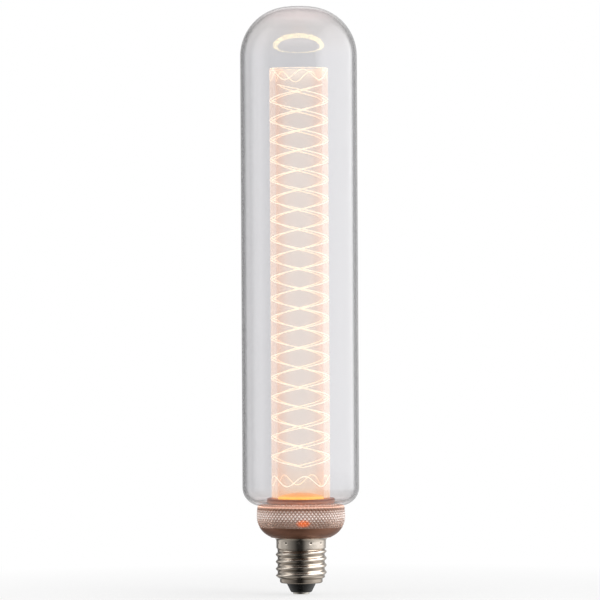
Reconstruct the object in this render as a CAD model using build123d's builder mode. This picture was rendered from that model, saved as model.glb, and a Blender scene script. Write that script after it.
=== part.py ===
from build123d import *
import os
from math import asin, cos, degrees, radians, sin, sqrt

os.makedirs("parts", exist_ok=True)

# A tubular LED bulb standing on its centre contact. The axis is Z, and z = 0 is the tip of the contact.

# Fits, in millimetres like every other size
slip = 0.15
seat_gap = 0.1
wire_room = 0.3

# Screw cap, size E27
thread_pitch = 3.629
thread_root_radius = 12.1
thread_depth = 1.0
thread_valley = 0.329
thread_crest_width = 0.5
thread_shoulder_width = 1.5
thread_shoulder_drop = 0.4
thread_length = 14.5
thread_phase = 2.65
thread_fade = 0.9
sheet = 0.3
cap_end_radius = 11.0
cap_end_height = 2.2
cap_end_round = 1.0
cap_end_taper = 0.7
skirt_radius = 12.75
skirt_height = 3.9
flare_height = 2.1
flare_angle = 73
dent_count = 12
dent_width = 0.6
dent_height = 1.0
dent_depth = 0.16
dent_drop = 0.4
dent_angle = -7

# Insulator and centre contact
insulator_height = 4.7
insulator_foot_radius = 5.6
insulator_foot_round = 1.0
insulator_top_radius = 7.6
insulator_flange = 1.6
contact_radius = 4.2
contact_thickness = 0.9
contact_round = 0.4
rivet_radius = 1.3
rivet_head_radius = 2.2
rivet_head = 0.8

# Cup: the copper-brown bowl with its neck and spigot
bowl_height = 5.2
bowl_radius = 11.5
bowl_sweep = 68.5
bowl_land = 0.2
cup_wall = 1.8
cup_neck_length = 18.9
spreader_seat = 1.6
spigot_height = 4.4
spigot_wall = 2.3

# Prismatic collar
collar_height = 10.9
collar_wall = 3.2
collar_bevel = 1.2
barrel_radius = 28.0
knurl_count = 72
knurl_rows = 9
knurl_depth = 0.45

# Glass envelope
glass_radius = 30.0
glass_length = 256.2
glass_wall = 1.1
crown_radius = 58.5
knuckle_radius = 25.5
glass_neck_radius = 19.0
glass_neck_fillet = 1.5
sealant_thickness = 0.6
sealant_height = 4.6

# Light guide and what carries it
guide_radius = 15.0
guide_wall = 3.0
guide_length = 228.0
lattice_pitch = 20.28
lattice_foot = 23.9
lattice_end = 11.3
lattice_angle = -86
ring_waves = 5
ring_rise = 2.6
ring_angle = -82
ring_foot = 16.7
ring_end = 3.6
groove_width = 0.7
groove_depth = 0.35
groove_gap = 0.3
holder_height = 8.3
holder_room = 0.5
holder_floor = 1.1
holder_ledge = 0.6
reflector_wall = 1.2
reflector_rise = 7.9
reflector_dome = 2.5
reflector_foot = 0.8

# LED board, heat spreader and their screws
board_room = 0.4
board_thickness = 1.6
spreader_thickness = 1.5
led_count = 16
led_width = 2.0
led_length = 3.0
led_height = 0.7
screw_count = 3
screw_circle_radius = 7.0
screw_radius = 1.0
screw_head_radius = 1.9
screw_head = 1.2

# Driver
driver_width = 20.6
driver_height = 23.0
driver_thickness = 1.2
driver_setback = 2.0
driver_foot = 2.8
capacitor_radius = 4.0
capacitor_length = 12.0
capacitor_groove = 0.4
capacitor_side = 3.2
choke_radius = 3.0
choke_length = 7.0
choke_flange = 1.0
choke_neck_radius = 1.9
choke_side = 5.2
component_rise = 7.0
chip_length = 4.9
chip_width = 3.9
chip_thickness = 1.5
chip_side = 4.0
chip_legs = 4
leg_pitch = 1.27
leg_width = 0.42
leg_reach = 1.0
leg_thickness = 0.25
bridge_length = 4.7
bridge_width = 4.2
bridge_legs = 2
bridge_leg_pitch = 2.54
fuse_radius = 1.4
fuse_length = 6.0
fuse_side = 5.4
lead_radius = 0.35
lead_bend = 1.0
lead_spread = 2.5

# Heights, from the contact upwards
shell_bottom_z = contact_thickness + insulator_height
thread_start_z = shell_bottom_z + cap_end_height + cap_end_taper
thread_end_z = thread_start_z + thread_length
flare_z = thread_end_z + skirt_height
shell_top_z = flare_z + flare_height
bowl_bottom_z = shell_top_z + seat_gap
bowl_top_z = bowl_bottom_z + bowl_height
collar_top_z = bowl_top_z + collar_height
glass_seat_z = collar_top_z + seat_gap
glass_top_z = glass_seat_z + glass_length
spigot_top_z = bowl_top_z + spigot_height
spreader_z = spigot_top_z - spreader_thickness
board_top_z = spigot_top_z + board_thickness
guide_z = board_top_z + holder_floor
cup_neck_z = bowl_bottom_z - cup_neck_length
driver_z = cup_neck_z + driver_foot

# Radii, from the glass neck outwards and inwards, and from the sheet inwards
neck_bore_radius = glass_neck_radius - glass_wall
collar_bore_radius = glass_neck_radius + sealant_thickness
collar_radius = collar_bore_radius + collar_wall
spigot_radius = collar_bore_radius - slip
counterbore_radius = spigot_radius - spigot_wall
spreader_radius = counterbore_radius - slip
cup_cavity_radius = spreader_radius - spreader_seat
holder_radius = neck_bore_radius - holder_room
board_radius = neck_bore_radius - board_room
bowl_arc_radius = collar_radius - bowl_radius
land_z = bowl_bottom_z + bowl_land
bowl_arc_z = land_z + bowl_radius * sin(radians(bowl_sweep))
land_radius = bowl_arc_radius + bowl_radius * cos(radians(bowl_sweep))
flare_radius = flare_height / sin(radians(flare_angle))
flare_centre = (skirt_radius + flare_radius, flare_z)
skirt_bore_radius = skirt_radius - sheet
thread_bore_radius = thread_root_radius - sheet
cup_neck_radius = thread_bore_radius - slip
cup_bore_radius = cup_neck_radius - cup_wall
guide_bore_radius = guide_radius - guide_wall
led_circle_radius = guide_radius - guide_wall / 2


def bowl_outline_radius(z):
    """Radius of the outline that the collar and the bowl share, at height z."""
    arc_radius = barrel_radius if z > bowl_arc_z else bowl_radius
    return collar_radius - arc_radius + sqrt(arc_radius**2 - (bowl_arc_z - z) ** 2)


def flare_turn(reach, rise):
    """Angle in degrees that an arc round the flare's centre turns on its way up by rise."""
    return degrees(asin(rise / reach))


# Glass envelope: one blown wall from the crown down to the neck in the collar
shoulder_radius = glass_radius - glass_neck_radius - glass_neck_fillet
shoulder_z = glass_seat_z + shoulder_radius
crown_z = glass_top_z - crown_radius
knuckle_centre_radius = glass_radius - knuckle_radius
crown_half_angle = degrees(asin(knuckle_centre_radius / (crown_radius - knuckle_radius)))
knuckle_z = crown_z + (crown_radius - knuckle_radius) * cos(radians(crown_half_angle))
fillet_centre = (glass_neck_radius + glass_neck_fillet, glass_seat_z - glass_neck_fillet)
neck_end_z = spigot_top_z + seat_gap

with BuildPart() as glass_envelope:
    with BuildSketch(Plane.XZ):
        with BuildLine():
            for inset in (0, glass_wall):
                wall_radius = glass_radius - inset
                neck_radius = glass_neck_radius - inset
                CenterArc((0, crown_z), crown_radius - inset, 90 - crown_half_angle, crown_half_angle)
                CenterArc(
                    (knuckle_centre_radius, knuckle_z), knuckle_radius - inset, 0, 90 - crown_half_angle
                )
                Line((wall_radius, knuckle_z), (wall_radius, shoulder_z))
                CenterArc((fillet_centre[0], shoulder_z), shoulder_radius - inset, 270, 90)
                CenterArc(fillet_centre, glass_neck_fillet + inset, 90, 90)
                Line((neck_radius, fillet_centre[1]), (neck_radius, neck_end_z))
            Line((0, glass_top_z), (0, glass_top_z - glass_wall))
            Line((glass_neck_radius, neck_end_z), (glass_neck_radius - glass_wall, neck_end_z))
        make_face()
    revolve(axis=Axis.Z)
glass_envelope.part.label = "glass_envelope"
export_step(glass_envelope.part, "parts/glass_envelope.step")

# Sealant: fills the gap between the glass neck and the collar
with BuildPart() as neck_sealant:
    with BuildSketch(Plane.XY.offset(neck_end_z)):
        Circle(collar_bore_radius)
        Circle(glass_neck_radius, mode=Mode.SUBTRACT)
    extrude(amount=sealant_height)
neck_sealant.part.label = "neck_sealant"
export_step(neck_sealant.part, "parts/neck_sealant.step")

# Collar: rings of alternating ridges and valleys, half a step apart from row to row, make the diamonds
with BuildPart() as crystal_collar:
    for row in range(knurl_rows + 1):
        row_z = bowl_top_z + collar_height * row / knurl_rows
        ridge_radius = bowl_outline_radius(row_z)
        corners = []
        for corner in range(2 * knurl_count):
            corner_radius = ridge_radius - knurl_depth * ((corner + row) % 2)
            angle = radians(180 * corner / knurl_count)
            corners.append((corner_radius * cos(angle), corner_radius * sin(angle)))
        with BuildSketch(Plane.XY.offset(row_z)):
            with BuildLine():
                Polyline(*corners, close=True)
            make_face()
    loft(ruled=True)
    with BuildSketch(Plane.XZ):
        with BuildLine():
            Polyline(
                (0, bowl_top_z),
                (collar_bore_radius, bowl_top_z),
                (collar_bore_radius, collar_top_z - collar_bevel),
                (collar_bore_radius + collar_bevel, collar_top_z),
                (0, collar_top_z),
                close=True,
            )
        make_face()
    revolve(axis=Axis.Z, mode=Mode.SUBTRACT)
crystal_collar.part.label = "crystal_collar"
export_step(crystal_collar.part, "parts/crystal_collar.step")

# Cup: a spigot in the collar, the bowl, a cove over the shell's flared rim and a stepped neck in the shell
bowl_top_radius = bowl_outline_radius(bowl_top_z)
bowl_mid_z = (bowl_top_z + land_z) / 2
cavity_floor_z = bowl_bottom_z + cup_wall
cavity_wall_z = cavity_floor_z + (cup_cavity_radius - cup_bore_radius) / 2
driver_y = -driver_setback
lead_contact_radius = thread_bore_radius - lead_radius
groove_half_width = lead_radius + slip
cove_reach = flare_radius + sheet + slip
cove_turn = flare_turn(cove_reach, bowl_bottom_z - flare_z)
cove_top_radius = flare_centre[0] - cove_reach * cos(radians(cove_turn))

with BuildPart() as base_cup:
    with BuildSketch(Plane.XZ):
        with BuildLine():
            Polyline(
                (bowl_top_radius, bowl_top_z),
                (spigot_radius, bowl_top_z),
                (spigot_radius, spigot_top_z),
                (counterbore_radius, spigot_top_z),
                (counterbore_radius, spreader_z),
                (cup_cavity_radius, spreader_z),
                (cup_cavity_radius, cavity_wall_z),
                (cup_bore_radius, cavity_floor_z),
                (cup_bore_radius, cup_neck_z),
                (cup_neck_radius, cup_neck_z),
                (cup_neck_radius, thread_end_z + seat_gap + skirt_radius - thread_root_radius),
                (skirt_bore_radius - slip, thread_end_z + 2 * (skirt_radius - thread_root_radius) + seat_gap),
                (skirt_bore_radius - slip, flare_z),
            )
            CenterArc(flare_centre, cove_reach, 180 - cove_turn, cove_turn)
            Polyline((cove_top_radius, bowl_bottom_z), (land_radius, bowl_bottom_z), (land_radius, land_z))
            ThreePointArc(
                (land_radius, land_z),
                (bowl_outline_radius(bowl_mid_z), bowl_mid_z),
                (bowl_top_radius, bowl_top_z),
            )
        make_face()
    revolve(axis=Axis.Z)
    # Two facing slots in the neck take the edges of the driver board
    with BuildSketch(Plane.XY.offset(driver_z)):
        with Locations((0, driver_y)):
            Rectangle(driver_width + 2 * slip, driver_thickness + 2 * slip)
    extrude(amount=cavity_wall_z - driver_z, mode=Mode.SUBTRACT)
    # A groove outside the neck takes the neutral lead against the shell
    with BuildSketch(Plane.XY.offset(cup_neck_z)):
        with Locations((0, lead_contact_radius)):
            Circle(groove_half_width)
            Rectangle(2 * groove_half_width, 2 * lead_radius, align=(Align.CENTER, Align.MIN))
    extrude(amount=cup_neck_length / 2, mode=Mode.SUBTRACT)
base_cup.part.label = "base_cup"
export_step(base_cup.part, "parts/base_cup.step")


def cap_plug(inset):
    """The screw cap's outer form as a solid, drawn in by inset from the outside of the sheet."""
    root_radius = thread_root_radius - inset
    end_radius = cap_end_radius - inset
    end_round = cap_end_round - inset
    end_z = shell_bottom_z + inset
    top_z = shell_top_z + inset
    ridge_sink = thread_depth / 5
    thread_width = thread_pitch - thread_valley
    spare_turns = 3
    with BuildPart() as plug:
        # The ridge runs on a right-hand helix and is cut off to fade into the sheet at both ends
        with BuildLine():
            ridge_path = Helix(
                thread_pitch,
                thread_pitch * (int(thread_length / thread_pitch) + spare_turns),
                root_radius,
                center=(0, 0, thread_start_z + thread_phase - 2 * thread_pitch),
            )
        with BuildSketch(Plane(origin=ridge_path @ 0, x_dir=(1, 0, 0), z_dir=ridge_path % 0)):
            with BuildLine():
                Polyline(
                    (-ridge_sink, -thread_width / 2),
                    (thread_depth - thread_shoulder_drop, -thread_shoulder_width / 2),
                    (thread_depth, -thread_crest_width / 2),
                    (thread_depth, thread_crest_width / 2),
                    (thread_depth - thread_shoulder_drop, thread_shoulder_width / 2),
                    (-ridge_sink, thread_width / 2),
                    close=True,
                )
            make_face()
        sweep(path=ridge_path, is_frenet=True)
        with BuildSketch(Plane.XZ):
            with BuildLine():
                crest_radius = root_radius + thread_depth + ridge_sink
                Polyline(
                    (0, thread_start_z),
                    (root_radius - 2 * ridge_sink, thread_start_z),
                    (crest_radius, thread_start_z + thread_fade),
                    (crest_radius, thread_end_z - thread_fade),
                    (root_radius - 2 * ridge_sink, thread_end_z),
                    (0, thread_end_z),
                    close=True,
                )
            make_face()
        revolve(axis=Axis.Z, mode=Mode.INTERSECT)
        # The turned body: end with its rounded corner, taper, thread root, step, skirt and flared rim
        with BuildSketch(Plane.XZ):
            with BuildLine():
                step = skirt_radius - thread_root_radius
                rim_reach = flare_radius + inset
                rim_turn = flare_turn(rim_reach, top_z - flare_z)
                rim_radius = flare_centre[0] - rim_reach * cos(radians(rim_turn))
                CenterArc(flare_centre, rim_reach, 180 - rim_turn, rim_turn)
                Polyline(
                    (end_radius, end_z + end_round),
                    (end_radius, shell_bottom_z + cap_end_height),
                    (root_radius, thread_start_z),
                    (root_radius, thread_end_z),
                    (root_radius + step, thread_end_z + step),
                    (root_radius + step, flare_z),
                )
                Polyline((rim_radius, top_z), (0, top_z), (0, end_z), (end_radius - end_round, end_z))
                CenterArc((end_radius - end_round, end_z + end_round), end_round, 270, 90)
            make_face()
        revolve(axis=Axis.Z)
    return plug.part


# Screw shell: thin sheet with a rolled thread, a lip turned in at the end, a flared rim and staking dents
lip_radius = insulator_top_radius + slip

with BuildPart() as screw_shell:
    add(cap_plug(0))
    add(cap_plug(sheet), mode=Mode.SUBTRACT)
    with BuildSketch(Plane.XY.offset(shell_bottom_z)):
        Circle(lip_radius)
    extrude(amount=sheet, mode=Mode.SUBTRACT)
    with Locations((0, 0, flare_z - dent_drop)):
        with PolarLocations(skirt_radius, dent_count, start_angle=dent_angle):
            Box(2 * dent_depth, dent_width, dent_height, mode=Mode.SUBTRACT)
screw_shell.part.label = "screw_shell"
export_step(screw_shell.part, "parts/screw_shell.step")

# Insulator: a cone below the lip and a flange above it, round the rivet of the contact
flange_z = shell_bottom_z + sheet
flange_radius = cap_end_radius - sheet - slip
flange_bevel = cap_end_round - sheet
insulator_bore = rivet_radius + slip

with BuildPart() as insulator:
    with BuildSketch(Plane.XZ) as insulator_section:
        with BuildLine():
            Polyline(
                (insulator_bore, contact_thickness),
                (insulator_foot_radius, contact_thickness),
                (insulator_top_radius, shell_bottom_z),
                (insulator_top_radius, flange_z),
                (flange_radius - flange_bevel, flange_z),
                (flange_radius, flange_z + flange_bevel),
                (flange_radius, flange_z + insulator_flange),
                (insulator_bore, flange_z + insulator_flange),
                close=True,
            )
        make_face()
        foot = insulator_section.vertices().group_by(Axis.Y)[0].sort_by(Axis.X)[-1]
        fillet(foot, insulator_foot_round)
    revolve(axis=Axis.Z)
insulator.part.label = "insulator"
export_step(insulator.part, "parts/insulator.step")

# Centre contact: a flat disc with a rounded edge, riveted through the insulator
flange_top_z = flange_z + insulator_flange
rivet_top_z = flange_top_z + rivet_head

with BuildPart() as centre_contact:
    with BuildSketch(Plane.XZ):
        with BuildLine():
            Polyline(
                (contact_radius, contact_round),
                (contact_radius, contact_thickness),
                (rivet_radius, contact_thickness),
                (rivet_radius, flange_top_z),
                (rivet_head_radius, flange_top_z),
                (rivet_radius, rivet_top_z),
                (0, rivet_top_z),
                (0, 0),
                (contact_radius - contact_round, 0),
            )
            CenterArc((contact_radius - contact_round, contact_round), contact_round, 270, 90)
        make_face()
    revolve(axis=Axis.Z)
centre_contact.part.label = "centre_contact"
export_step(centre_contact.part, "parts/centre_contact.step")

# Engraving of the light guide: a lattice of two right-hand and two left-hand helices between two wavy rings
quarter_rise = lattice_pitch / 4
quarter_count = int((guide_length - lattice_foot - lattice_end) / quarter_rise)
groove_clear = groove_width / 2 + groove_gap
groove_section = ((-groove_depth, 0), (groove_depth, -groove_width), (groove_depth, groove_width))


def on_guide(angle, z):
    """A point on the outer face of the light guide, over the origin."""
    return Vector(guide_radius * cos(radians(angle)), guide_radius * sin(radians(angle)), z)


def groove_along(path, outward):
    """The V-shaped cut along a path on the light guide, which opens outward at the start of the path."""
    with BuildPart() as groove:
        with BuildSketch(Plane(origin=path @ 0, x_dir=outward, z_dir=path % 0)):
            with BuildLine():
                Polyline(*groove_section, close=True)
            make_face()
        sweep(path=path, is_frenet=True)
    return groove.part


# The left-hand helices are round links of a quarter turn that stop just short of the right-hand helices
helix = Helix(lattice_pitch, quarter_count * quarter_rise, guide_radius)
link_rise = quarter_rise / 2 - groove_clear
link_angle = 360 * link_rise / lattice_pitch
link = ThreePointArc(on_guide(-link_angle, link_rise), on_guide(0, 0), on_guide(link_angle, -link_rise))
helix_spots = []
link_spots = []
for start_angle in (lattice_angle, lattice_angle + 180):
    helix_spots.append(Location((0, 0, guide_z + lattice_foot), (0, 0, start_angle)))
    for quarter in range(quarter_count):
        link_z = guide_z + lattice_foot + (quarter + 0.5) * quarter_rise
        link_spots.append(Location((0, 0, link_z), (0, 0, start_angle - 90 * (quarter + 0.5))))

# Each ring is a row of arches, up and down in turn, that stop just short of each other
arch_angle = 90 / ring_waves - degrees(groove_clear / guide_radius / sqrt(2))
arch_foot = ring_rise * cos(radians(ring_waves * arch_angle))
arch = ThreePointArc(on_guide(-arch_angle, arch_foot), on_guide(0, ring_rise), on_guide(arch_angle, arch_foot))
arch_spots = []
for ring_z in (guide_z + ring_foot, guide_z + guide_length - ring_end):
    for wave in range(ring_waves):
        crest_angle = ring_angle + 360 * wave / ring_waves
        arch_spots.append(Location((0, 0, ring_z), (0, 0, crest_angle)))
        arch_spots.append(Location((0, 0, ring_z), (180, 0, -crest_angle - 180 / ring_waves)))

# Light guide: a clear tube with its engraving
with BuildPart() as light_guide:
    with BuildSketch(Plane.XY.offset(guide_z)):
        Circle(guide_radius)
        Circle(guide_bore_radius, mode=Mode.SUBTRACT)
    extrude(amount=guide_length)
    with Locations(*helix_spots):
        add(groove_along(helix, (1, 0, 0)), mode=Mode.SUBTRACT)
    with Locations(*link_spots):
        add(groove_along(link, link @ 0 - link.arc_center), mode=Mode.SUBTRACT)
    with Locations(*arch_spots):
        add(groove_along(arch, -arch.normal()), mode=Mode.SUBTRACT)
light_guide.part.label = "light_guide"
export_step(light_guide.part, "parts/light_guide.step")

# Guide holder: a socket for the tube, with a floor that has a window over each diode
socket_radius = guide_radius + slip
ledge_radius = guide_bore_radius - holder_ledge
lead_hole_radius = lead_radius + wire_room

with BuildPart() as guide_holder:
    with BuildSketch(Plane.XY.offset(board_top_z)):
        Circle(holder_radius)
    extrude(amount=holder_height)
    fillet(guide_holder.faces().sort_by(Axis.Z)[-1].edges(), (holder_radius - socket_radius) / 3)
    with BuildSketch(Plane.XY.offset(guide_z)):
        Circle(socket_radius)
    extrude(amount=holder_height - holder_floor, mode=Mode.SUBTRACT)
    with BuildSketch(Plane.XY.offset(board_top_z)):
        Circle(ledge_radius)
        with PolarLocations(led_circle_radius, led_count):
            Rectangle(led_width + 2 * slip, led_length + 2 * slip)
    extrude(amount=holder_floor, mode=Mode.SUBTRACT)
guide_holder.part.label = "guide_holder"
export_step(guide_holder.part, "parts/guide_holder.step")

# Centre reflector: a hollow domed plug that stands on the holder's ledge inside the tube
reflector_radius = guide_bore_radius - slip
dome_edge_z = guide_z + reflector_rise
dome_radius = (reflector_radius**2 + reflector_dome**2) / (2 * reflector_dome)
dome_centre_z = dome_edge_z + reflector_dome - dome_radius
dome_half_angle = degrees(asin(reflector_radius / dome_radius))
cavity_radius = reflector_radius - holder_ledge - reflector_wall

with BuildPart() as centre_reflector:
    with BuildSketch(Plane.XZ):
        with BuildLine():
            Polyline(
                (0, dome_edge_z + reflector_dome),
                (0, dome_edge_z + reflector_dome - reflector_wall),
                (cavity_radius, dome_edge_z - reflector_wall),
                (cavity_radius, guide_z - reflector_foot),
                (reflector_radius - holder_ledge, guide_z - reflector_foot),
                (reflector_radius - holder_ledge, guide_z),
                (reflector_radius, guide_z),
                (reflector_radius, dome_edge_z),
            )
            CenterArc((0, dome_centre_z), dome_radius, 90 - dome_half_angle, dome_half_angle)
        make_face()
    revolve(axis=Axis.Z)
centre_reflector.part.label = "centre_reflector"
export_step(centre_reflector.part, "parts/centre_reflector.step")

# LED board and heat spreader: two discs with screw holes and holes for the leads
with BuildPart() as led_board:
    with BuildSketch(Plane.XY.offset(spigot_top_z)):
        Circle(board_radius)
        with PolarLocations(screw_circle_radius, screw_count, start_angle=90):
            Circle(screw_radius + slip, mode=Mode.SUBTRACT)
        with Locations((-lead_spread, driver_y), (lead_spread, driver_y)):
            Circle(lead_hole_radius, mode=Mode.SUBTRACT)
    extrude(amount=board_thickness)
led_board.part.label = "led_board"
export_step(led_board.part, "parts/led_board.step")

with BuildPart() as heat_spreader:
    with BuildSketch(Plane.XY.offset(spreader_z)):
        Circle(spreader_radius)
        with PolarLocations(screw_circle_radius, screw_count, start_angle=90):
            Circle(screw_radius, mode=Mode.SUBTRACT)
        with Locations((-lead_spread, driver_y), (lead_spread, driver_y)):
            Circle(lead_hole_radius, mode=Mode.SUBTRACT)
    extrude(amount=spreader_thickness)
heat_spreader.part.label = "heat_spreader"
export_step(heat_spreader.part, "parts/heat_spreader.step")

# Diodes: a ring of small packages on the board, under the wall of the light guide
with BuildPart() as leds:
    with BuildSketch(Plane.XY.offset(board_top_z)):
        with PolarLocations(led_circle_radius, led_count):
            Rectangle(led_width, led_length)
    extrude(amount=led_height)
leds.part.label = "leds"
export_step(leds.part, "parts/leds.step")

# Screws: they clamp the board to the tapped spreader
with BuildPart() as board_screws:
    with BuildSketch(Plane.XY.offset(spreader_z)):
        with PolarLocations(screw_circle_radius, screw_count, start_angle=90):
            Circle(screw_radius)
    extrude(amount=spreader_thickness + board_thickness)
    with BuildSketch(Plane.XY.offset(board_top_z)):
        with PolarLocations(screw_circle_radius, screw_count, start_angle=90):
            Circle(screw_head_radius)
    extrude(amount=screw_head)
    with BuildSketch(Plane.XY.offset(board_top_z + screw_head / 2)):
        with PolarLocations(screw_circle_radius, screw_count, start_angle=90):
            Rectangle(screw_head_radius, screw_radius / 2)
            Rectangle(screw_radius / 2, screw_head_radius)
    extrude(amount=screw_head / 2, mode=Mode.SUBTRACT)
board_screws.part.label = "board_screws"
export_step(board_screws.part, "parts/board_screws.step")

# Driver board: upright, with its foot on the ends of the two slots
driver_front_y = driver_y + driver_thickness / 2
driver_back_y = driver_y - driver_thickness / 2
driver_top_z = driver_z + driver_height

with BuildPart() as driver_board:
    with BuildSketch(Plane.XY.offset(driver_z)):
        with Locations((0, driver_y)):
            Rectangle(driver_width, driver_thickness)
    extrude(amount=driver_height)
driver_board.part.label = "driver_board"
export_step(driver_board.part, "parts/driver_board.step")

# Smoothing capacitor: a can with a rolled groove, on two legs bent to the board
component_z = driver_z + component_rise
capacitor_y = driver_front_y + capacitor_radius
capacitor_groove_z = component_z + 2 * capacitor_groove
capacitor_leg_z = component_z - lead_bend - lead_radius
capacitor_leg_offset = capacitor_radius / 3

with BuildPart() as smoothing_capacitor:
    with BuildSketch(Plane.XY.offset(component_z)):
        with Locations((capacitor_side, capacitor_y)):
            Circle(capacitor_radius)
    extrude(amount=capacitor_length)
    with BuildSketch(Plane.XY.offset(capacitor_groove_z)):
        with Locations((capacitor_side, capacitor_y)):
            Circle(capacitor_radius)
            Circle(capacitor_radius - capacitor_groove, mode=Mode.SUBTRACT)
    extrude(amount=capacitor_groove, mode=Mode.SUBTRACT)
    for leg_x in (capacitor_side - capacitor_leg_offset, capacitor_side + capacitor_leg_offset):
        with BuildLine():
            leg_path = FilletPolyline(
                (leg_x, capacitor_y, component_z),
                (leg_x, capacitor_y, capacitor_leg_z),
                (leg_x, driver_front_y, capacitor_leg_z),
                radius=lead_bend,
            )
        with BuildSketch(Plane(origin=leg_path @ 0, z_dir=leg_path % 0)):
            Circle(lead_radius)
        sweep(path=leg_path)
smoothing_capacitor.part.label = "smoothing_capacitor"
export_step(smoothing_capacitor.part, "parts/smoothing_capacitor.step")

# Choke: a drum core that stands on the board by the rims of its flanges
choke_y = driver_front_y + choke_radius

with BuildPart() as choke:
    with BuildSketch(Plane.XY.offset(component_z)):
        with Locations((-choke_side, choke_y)):
            Circle(choke_radius)
    extrude(amount=choke_length)
    with BuildSketch(Plane.XY.offset(component_z + choke_flange)):
        with Locations((-choke_side, choke_y)):
            Circle(choke_radius)
            Circle(choke_neck_radius, mode=Mode.SUBTRACT)
    extrude(amount=choke_length - 2 * choke_flange, mode=Mode.SUBTRACT)
choke.part.label = "choke"
export_step(choke.part, "parts/choke.step")


def chip_package(side, length, width, legs, pitch):
    """A flat package on the back of the driver board, with a row of legs along each long side."""
    centre_z = driver_z + driver_height / 2
    with BuildPart() as package:
        with BuildSketch(Plane.XZ.offset(-driver_back_y)):
            with Locations((side, centre_z)):
                Rectangle(width, length)
        extrude(amount=chip_thickness)
        with BuildSketch(Plane.XZ.offset(-driver_back_y)):
            with Locations((side, centre_z)):
                with GridLocations(width + leg_reach, pitch, 2, legs):
                    Rectangle(leg_reach, leg_width)
        extrude(amount=leg_thickness)
        with BuildSketch(Plane.XZ.offset(-driver_back_y)):
            with Locations((side, centre_z)):
                with GridLocations(width + leg_width, pitch, 2, legs):
                    Rectangle(leg_width, leg_width)
        extrude(amount=chip_thickness / 2)
    return package.part


# Driver chip and bridge rectifier: side by side on the back of the board
with BuildPart() as driver_chip:
    add(chip_package(chip_side, chip_length, chip_width, chip_legs, leg_pitch))
driver_chip.part.label = "driver_chip"
export_step(driver_chip.part, "parts/driver_chip.step")

with BuildPart() as bridge_rectifier:
    add(chip_package(-chip_side, bridge_length, bridge_width, bridge_legs, bridge_leg_pitch))
bridge_rectifier.part.label = "bridge_rectifier"
export_step(bridge_rectifier.part, "parts/bridge_rectifier.step")

# Fuse resistor: a small axial body against the board, below the choke, with its free leg downwards
fuse_y = driver_front_y + fuse_radius
fuse_z = component_z - fuse_length
fuse_neck_z = fuse_z - 2 * lead_radius

with BuildPart() as fuse_resistor:
    with BuildSketch(Plane.XY.offset(fuse_z)):
        with Locations((-fuse_side, fuse_y)):
            Circle(fuse_radius)
    extrude(amount=fuse_length - seat_gap)
    chamfer(fuse_resistor.edges().filter_by(GeomType.CIRCLE), fuse_radius / 3)
    with BuildSketch(Plane.XY.offset(fuse_neck_z)):
        with Locations((-fuse_side, fuse_y)):
            Circle(lead_radius)
    extrude(amount=2 * lead_radius)
fuse_resistor.part.label = "fuse_resistor"
export_step(fuse_resistor.part, "parts/fuse_resistor.step")

# Live lead: from the rivet of the contact to the fuse resistor
live_bend_z = (rivet_top_z + fuse_neck_z) / 2

with BuildPart() as live_lead:
    with BuildLine():
        live_path = FilletPolyline(
            (0, 0, rivet_top_z),
            (0, 0, live_bend_z),
            (-fuse_side, fuse_y, live_bend_z),
            (-fuse_side, fuse_y, fuse_neck_z),
            radius=lead_bend,
        )
    with BuildSketch(Plane(origin=live_path @ 0, z_dir=live_path % 0)):
        Circle(lead_radius)
    sweep(path=live_path)
live_lead.part.label = "live_lead"
export_step(live_lead.part, "parts/live_lead.step")

# Neutral lead: from the board, round the end of the neck and up its groove against the shell
neutral_drop_y = driver_front_y + 2 * capacitor_radius
neutral_low_z = cup_neck_z - 2 * lead_radius
neutral_start_z = driver_z + driver_foot / 2

with BuildPart() as neutral_lead:
    with BuildLine():
        neutral_path = FilletPolyline(
            (0, driver_front_y, neutral_start_z),
            (0, neutral_drop_y, neutral_start_z),
            (0, neutral_drop_y, neutral_low_z),
            (0, lead_contact_radius, neutral_low_z),
            (0, lead_contact_radius, cup_neck_z + cup_neck_length / 3),
            radius=lead_bend,
        )
    with BuildSketch(Plane(origin=neutral_path @ 0, z_dir=neutral_path % 0)):
        Circle(lead_radius)
    sweep(path=neutral_path)
neutral_lead.part.label = "neutral_lead"
export_step(neutral_lead.part, "parts/neutral_lead.step")

# LED leads: from the top edge of the driver board to pads on the LED board
led_lead_z = board_top_z + lead_radius

with BuildPart() as led_leads:
    for lead_x in (-lead_spread, lead_spread):
        with BuildLine():
            led_path = FilletPolyline(
                (lead_x, driver_y, driver_top_z),
                (lead_x, driver_y, led_lead_z),
                (lead_x, driver_y + 3 * lead_bend, led_lead_z),
                radius=lead_bend,
            )
        with BuildSketch(Plane(origin=led_path @ 0, z_dir=led_path % 0)):
            Circle(lead_radius)
        sweep(path=led_path)
led_leads.part.label = "led_leads"
export_step(led_leads.part, "parts/led_leads.step")
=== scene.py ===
"""The looks of a tubular LED bulb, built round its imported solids.

Sizes of the bulb are in millimetres. Lights, floor and camera are placed in metres.
"""
from math import asin, cos, degrees, pi, radians, sin, sqrt

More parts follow.
